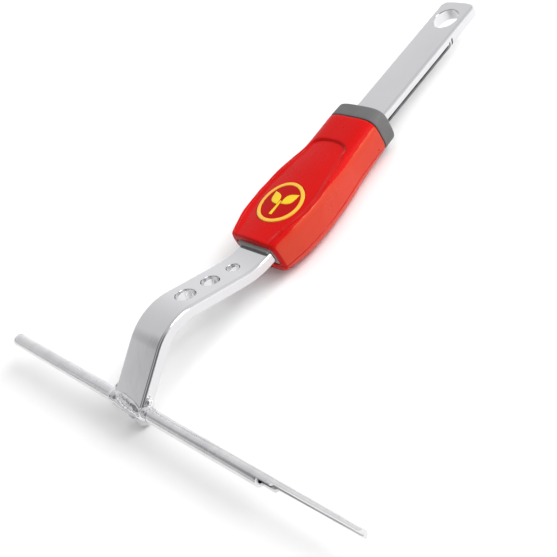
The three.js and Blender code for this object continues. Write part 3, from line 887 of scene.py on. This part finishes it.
def collar_body():
    """Ring that carries the grip's section on and rounds over at its free end."""
    rows = end_insets(GRIP_END + FIT, COLLAR_END, 1.6, 8)
    half = len(rows) // 2
    start = [(GRIP_END + FIT, 0.25), (GRIP_END + 0.2, 0.1), (GRIP_END + 0.4, 0.0)]
    rows = start + [(y, 0.0) for y in np.arange(GRIP_END + 1, COLLAR_END - 1.7, 0.6)] + rows[half:]
    rings = []
    for y, inset in rows:
        x, z, width, front, _ = section(y, samples=200)
        rings.append([(float(a * (1 - inset / width)), float(y), float(b * (1 - inset / front)))
                      for a, b in zip(x, z)])
    body = loft("collar_ring", rings)
    hole = [[(x, y, z) for x, z in rounded_rectangle(BAR_HALF + FIT + grow, BAR_THICK / 2 + FIT + grow,
                                                     1.5 + grow, 8)]
            for y, grow in ((GRIP_END - 1, 0.0), (COLLAR_END - 0.4, 0.0), (COLLAR_END - 0.1, 0.15),
                            (COLLAR_END, 0.4), (COLLAR_END + 1, 0.4))]
    return combine(body, loft("bore", hole))


piece(collar_body(), ["collar"], GREY, sharp=45, weighted=False)


# ---------- badge ----------

def layer(name, outline, floor, lift, rim=0.25):
    """Raised inlay of the given plan outline, its top following the panel and its rim rounded."""
    outline = np.array(outline)
    forward = np.roll(outline, -1, axis=0) - np.roll(outline, 1, axis=0)
    normal = np.stack((forward[:, 1], -forward[:, 0]), axis=1)
    normal /= np.linalg.norm(normal, axis=1, keepdims=True)
    rings = [[(x, y + BADGE_AT, floor) for x, y in outline]]
    for i in range(5):
        a = math.pi / 2 * i / 4
        inset = outline - normal * rim * (1 - math.cos(a))
        rings.append([(x, y + BADGE_AT, panel_height(x, y + BADGE_AT) + lift - rim * (1 - math.sin(a)))
                      for x, y in inset])
    centre = inset.mean(axis=0)
    for shrink in (0.8, 0.6, 0.4, 0.2, 0.03):
        ring = centre + (inset - centre) * shrink
        rings.append([(x, y + BADGE_AT, panel_height(x, y + BADGE_AT) + lift) for x, y in ring])
    return loft(name, rings)


def circle(radius):
    return [(radius * math.cos(TAU * i / 128), radius * math.sin(TAU * i / 128)) for i in range(128)]


def badge_ring():
    """Rounded band around the badge's face, following the panel."""
    outer, inner, rim = BADGE_R - FIT, BADGE_R - 1.9, 0.3
    profile = [(inner, None), (inner, rim)]
    profile += [(inner + rim * (1 - math.cos(a)), rim * (1 - math.sin(a))) for a in (0.5, 1.0, math.pi / 2)]
    profile += [(outer - rim * (1 - math.cos(a)), rim * (1 - math.sin(a))) for a in (math.pi / 2, 1.0, 0.5)]
    profile += [(outer, rim), (outer, None)]
    rings = []
    for i in range(160):
        angle = TAU * i / 160
        ring = []
        for r, down in profile:
            x, y = r * math.cos(angle), r * math.sin(angle) + BADGE_AT
            ring.append((x, y, BADGE_INLAY_BASE if down is None else panel_height(x, y) + BADGE_LIFT - down))
        rings.append(ring)
    return loft("badge_ring_band", rings + rings[:1], closed_ends=False)


def leaf(base, tip, width):
    """Plan outline of a pointed leaf, widest nearer its base."""
    start, end = Vector(base), Vector(tip)
    along = end - start
    across = Vector((-along.y, along.x)).normalized()
    side = lambda sign: [start + along * t + across * (sign * width * math.sin(math.pi * t) * (1 - 0.35 * t))
                         for t in np.linspace(0, 1, 25)[1:-1]]
    return [tuple(p) for p in [start, *side(-1), end, *reversed(side(1))]]


plate = layer("badge_face", circle(BADGE_R - 2), BADGE_BASE, 0.06, rim=0.1)
base_disc = turned("base", [(BADGE_R, BADGE_BASE), (BADGE_R, BADGE_INLAY_BASE - 0.05)], 128)
combine(plate, transform(base_disc, Matrix.Translation((0, BADGE_AT, 0))), "UNION")
piece(plate, ["badge_plate"], BADGE_RED, sharp=45, weighted=False)
piece(badge_ring(), ["badge_ring"], BADGE_AMBER, sharp=50, weighted=False)
LEAVES = {"left": ((-1.0, -1.6), (-7.0, 5.0), 2.9), "right": ((1.0, -0.8), (7.0, 6.2), 3.1)}
for side, shape in LEAVES.items():
    inlay = layer(f"leaf_{side}", leaf(*shape), BADGE_INLAY_BASE, BADGE_LIFT)
    piece(inlay, [f"badge_leaf_{side}"], BADGE_YELLOW, sharp=50, weighted=False)
stem_outline = [(-0.8, -7.5), (0.8, -7.5), (0.45, 0.6), (-0.45, 0.6)]
stem = layer("stem", stem_outline, BADGE_INLAY_BASE, BADGE_LIFT, rim=0.15)
piece(stem, ["badge_stem"], BADGE_YELLOW, sharp=50, weighted=False)


# ---------- floor, light and camera ----------

def make_floor():
    bm = bmesh.new()
    bmesh.ops.create_grid(bm, x_segments=4, y_segments=4, size=6.0)
    mesh = bpy.data.meshes.new("floor")
    bm.to_mesh(mesh)
    bm.free()
    floor = bpy.data.objects.new("floor", mesh)
    floor.location.z = CAD_LOW.z - 0.0002
    bpy.context.scene.collection.objects.link(floor)
    material = bpy.data.materials.new("floor_paper")
    material.use_nodes = True
    shader = material.node_tree.nodes["Principled BSDF"]
    shader.inputs["Base Color"].default_value = (0.93, 0.925, 0.92, 1)
    shader.inputs["Roughness"].default_value = 0.9
    shader.inputs["Specular IOR Level"].default_value = 0.1
    mesh.materials.append(material)


def math_node(tree, operation, first, second):
    node = tree.nodes.new("ShaderNodeMath")
    node.operation = operation
    tree.links.new(first, node.inputs[0])
    tree.links.new(second, node.inputs[1])
    return node.outputs[0]


def dot_with(tree, direction, vector):
    node = tree.nodes.new("ShaderNodeVectorMath")
    node.operation = "DOT_PRODUCT"
    node.inputs[1].default_value = vector
    tree.links.new(direction, node.inputs[0])
    return node.outputs["Value"]


def direction_zone(tree, direction, centre, inner, outer, inside):
    """Factor for directions: inside within the inner angle of centre, 1 beyond the outer one (degrees)."""
    zone = tree.nodes.new("ShaderNodeMapRange")
    zone.interpolation_type = "SMOOTHSTEP"
    zone.inputs["From Min"].default_value = math.cos(math.radians(outer))
    zone.inputs["From Max"].default_value = math.cos(math.radians(inner))
    zone.inputs["To Min"].default_value = 1.0
    zone.inputs["To Max"].default_value = inside
    tree.links.new(dot_with(tree, direction, Vector(centre).normalized()), zone.inputs["Value"])
    return zone.outputs["Result"]


def make_world():
    """Soft studio: brighter low down and towards +Y, with two darker cards, a dimmer side towards +X and -Y,
    and a darker line at its horizon. Seen directly, it is plain grey."""
    world = bpy.data.worlds.new("studio")
    bpy.context.scene.world = world
    world.use_nodes = True
    tree = world.node_tree
    direction = tree.nodes.new("ShaderNodeTexCoord").outputs["Generated"]
    level = tree.nodes.new("ShaderNodeMath")
    level.operation = "ADD"
    level.inputs[1].default_value = 0.985
    tree.links.new(dot_with(tree, direction, (0.0, 0.12, -0.35)), level.inputs[0])
    split = tree.nodes.new("ShaderNodeSeparateXYZ")
    tree.links.new(direction, split.inputs["Vector"])
    left = remap(tree, split.outputs["X"], 1.0, 0.0, (-0.35, 0.05))
    far = remap(tree, split.outputs["Y"], 0.0, 1.0, (-0.26, -0.10))
    above = remap(tree, split.outputs["Z"], 0.15, 1.0, (0.08, 0.16))
    behind = remap(tree, split.outputs["Y"], 0.0, 1.0, (-0.3, 0.0))
    factors = (direction_zone(tree, direction, (-0.45, -0.52, 0.72), 16, 27, 0.35),
               direction_zone(tree, direction, (0.714, -0.42, 0.559), 14, 26, 0.22),
               remap(tree, math_node(tree, "MAXIMUM", left, far), 0.8, 1.0, (0.0, 1.0)),
               math_node(tree, "MAXIMUM", above, behind))
    light = level.outputs[0]
    for factor in factors:
        light = math_node(tree, "MULTIPLY", light, factor)
    studio = tree.nodes["Background"]
    studio.inputs["Color"].default_value = (0.985, 0.985, 1.0, 1)
    tree.links.new(light, studio.inputs["Strength"])
    plain = tree.nodes.new("ShaderNodeBackground")
    plain.inputs["Color"].default_value = (0.62, 0.62, 0.62, 1)
    choice = tree.nodes.new("ShaderNodeMixShader")
    tree.links.new(tree.nodes.new("ShaderNodeLightPath").outputs["Is Camera Ray"], choice.inputs[0])
    tree.links.new(studio.outputs[0], choice.inputs[1])
    tree.links.new(plain.outputs[0], choice.inputs[2])
    tree.links.new(choice.outputs[0], tree.nodes["World Output"].inputs["Surface"])


def make_light(name, location, target, size, energy, glossy):
    light = bpy.data.lights.new(name, "AREA")
    light.shape = "DISK"
    light.size = size
    light.energy = energy
    obj = bpy.data.objects.new(name, light)
    obj.location = location
    obj.rotation_euler = (Vector(target) - Vector(location)).to_track_quat("-Z", "Y").to_euler()
    obj.visible_glossy = glossy
    bpy.context.scene.collection.objects.link(obj)


def make_camera():
    """Camera at the photograph's viewing angle, found from the tool's straight edges."""
    camera = bpy.data.cameras.new("camera")
    camera.sensor_width = 36.0
    camera.lens = CAMERA_LENS
    camera.clip_start = 0.01
    obj = bpy.data.objects.new("camera", camera)
    rotation = Matrix((CAMERA_RIGHT, CAMERA_UP, CAMERA_RIGHT.cross(CAMERA_UP))).transposed().to_4x4()
    obj.matrix_world = Matrix.Translation((CAMERA_PLACE + ORIGIN) * MM) @ rotation
    bpy.context.scene.collection.objects.link(obj)
    bpy.context.scene.camera = obj


make_floor()
make_world()
for light in LIGHTS:
    make_light(*light)
make_camera()
bpy.context.scene.view_settings.view_transform = "Standard"
